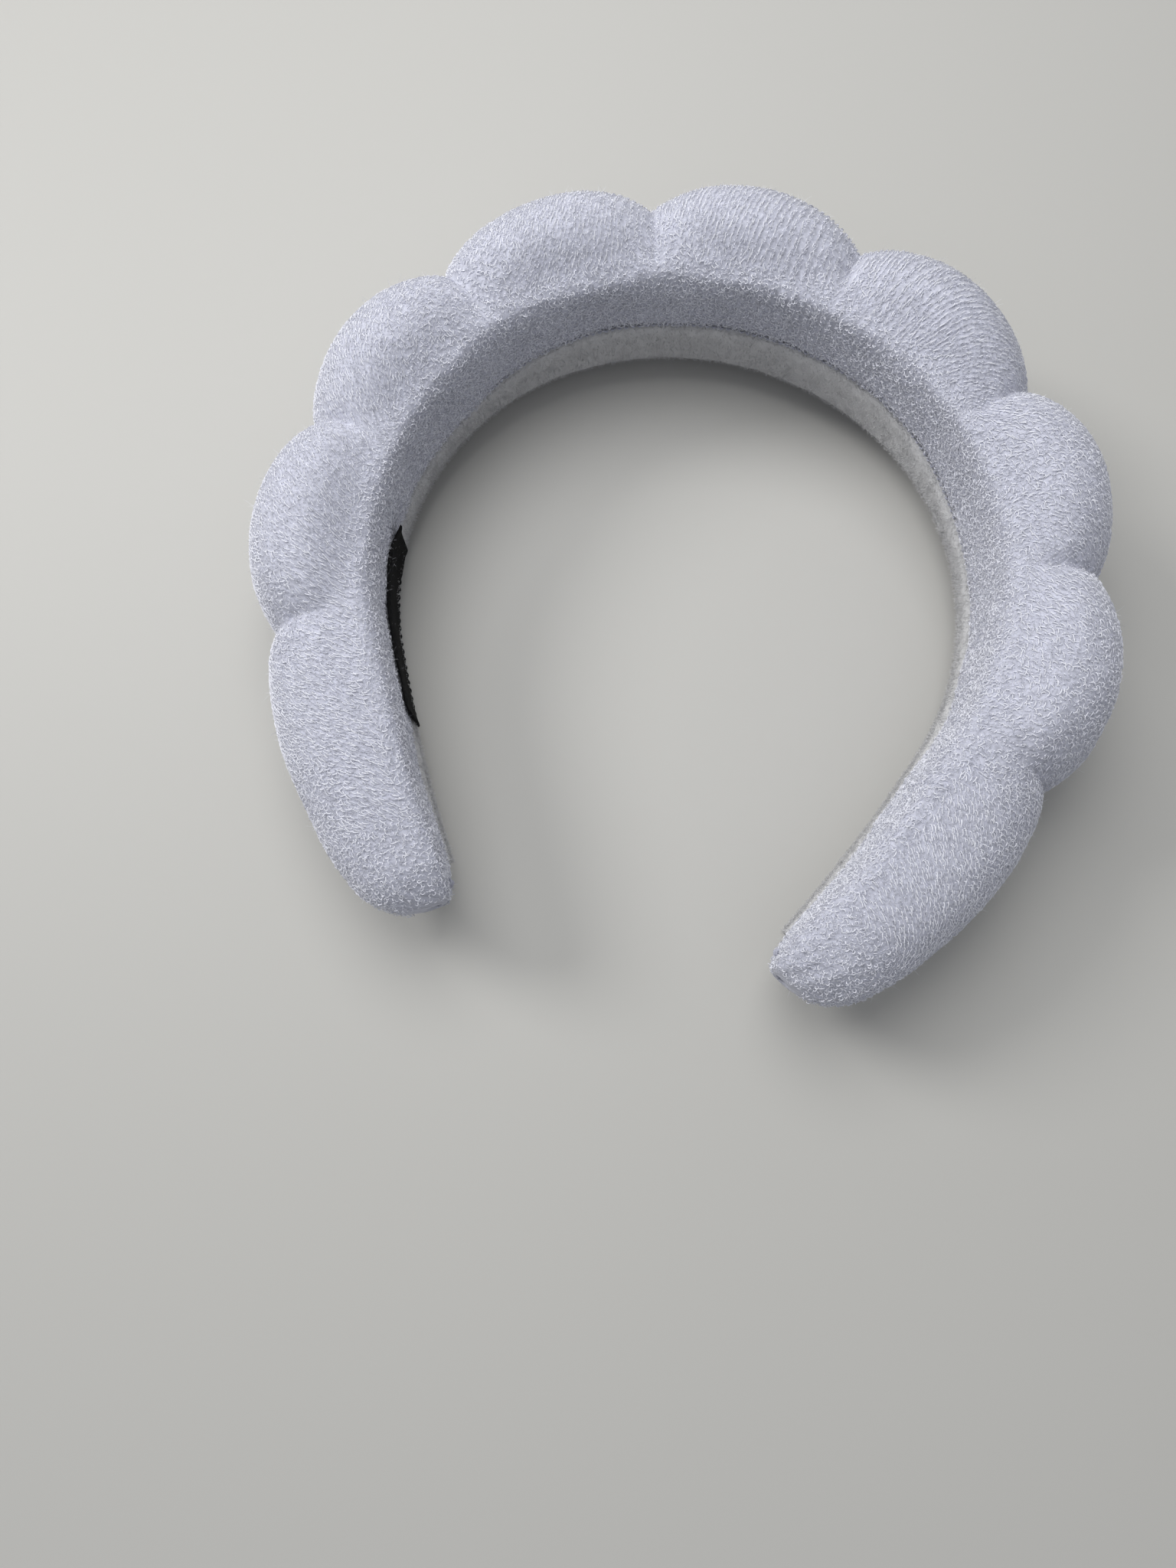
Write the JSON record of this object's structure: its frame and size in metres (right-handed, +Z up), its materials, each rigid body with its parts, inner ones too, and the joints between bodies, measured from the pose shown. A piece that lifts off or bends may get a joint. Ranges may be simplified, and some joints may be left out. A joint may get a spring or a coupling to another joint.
{
  "type": "spa headband",
  "caption": "Padded terry headband: an open springy hoop inside round foam puffs and tapered tails, closed by an inner lining strip, with a label sewn on one arm.",
  "frame": {"origin": "middle of the outline in X and Y, on the surface that the band lies on", "axes": "the open hoop lies in XY with the crown towards +Y and the two tails towards -Y, +X towards the arm without the label, +Z up across the width of the band"},
  "size_m": [0.1704, 0.1578, 0.042],
  "materials": {
    "terry": "looped pile, pale lilac grey",
    "foam": "open-cell foam, cream",
    "hoop": "satin moulded",
    "lining": "brushed short pile",
    "thread": "spun sewing thread",
    "label_thread": "black sewing thread",
    "label": "plain woven tape"
  },
  "bodies": {
    "crown": {"spring_hoop": "hoop", "lining_strip": "lining", "seam_thread_upper": "thread", "seam_thread_lower": "thread", "foam_puff_3": "foam", "foam_puff_4": "foam", "foam_puff_5": "foam", "cover_puff_3": "terry", "cover_puff_4": "terry", "cover_puff_5": "terry"},
    "left_arm": {"foam_puff_1": "foam", "foam_puff_2": "foam", "cover_puff_1": "terry", "cover_puff_2": "terry", "foam_tail_left": "foam", "cover_tail_left": "terry", "tail_tuck_left": "terry", "tail_stitch_left": "thread", "woven_label": "label", "label_stitch_upper": "label_thread", "label_stitch_lower": "label_thread"},
    "right_arm": {"foam_puff_6": "foam", "foam_puff_7": "foam", "cover_puff_6": "terry", "cover_puff_7": "terry", "foam_tail_right": "foam", "cover_tail_right": "terry", "tail_tuck_right": "terry", "tail_stitch_right": "thread"}
  },
  "joints": [
    {"name": "left_flex", "type": "hinge", "parent": "crown", "child": "left_arm", "pos_m": [-0.0467, 0.03512, 0.021], "axis": [0, 0, -1], "range_deg": [-4, 15], "stiffness_Nm_per_rad": 1, "deforming": ["spring_hoop", "lining_strip", "seam_thread_upper", "seam_thread_lower"]},
    {"name": "right_flex", "type": "hinge", "parent": "crown", "child": "right_arm", "pos_m": [0.0467, 0.03512, 0.021], "axis": [0, 0, 1], "range_deg": [-4, 15], "stiffness_Nm_per_rad": 1, "deforming": ["spring_hoop", "lining_strip", "seam_thread_upper", "seam_thread_lower"]}
  ]
}
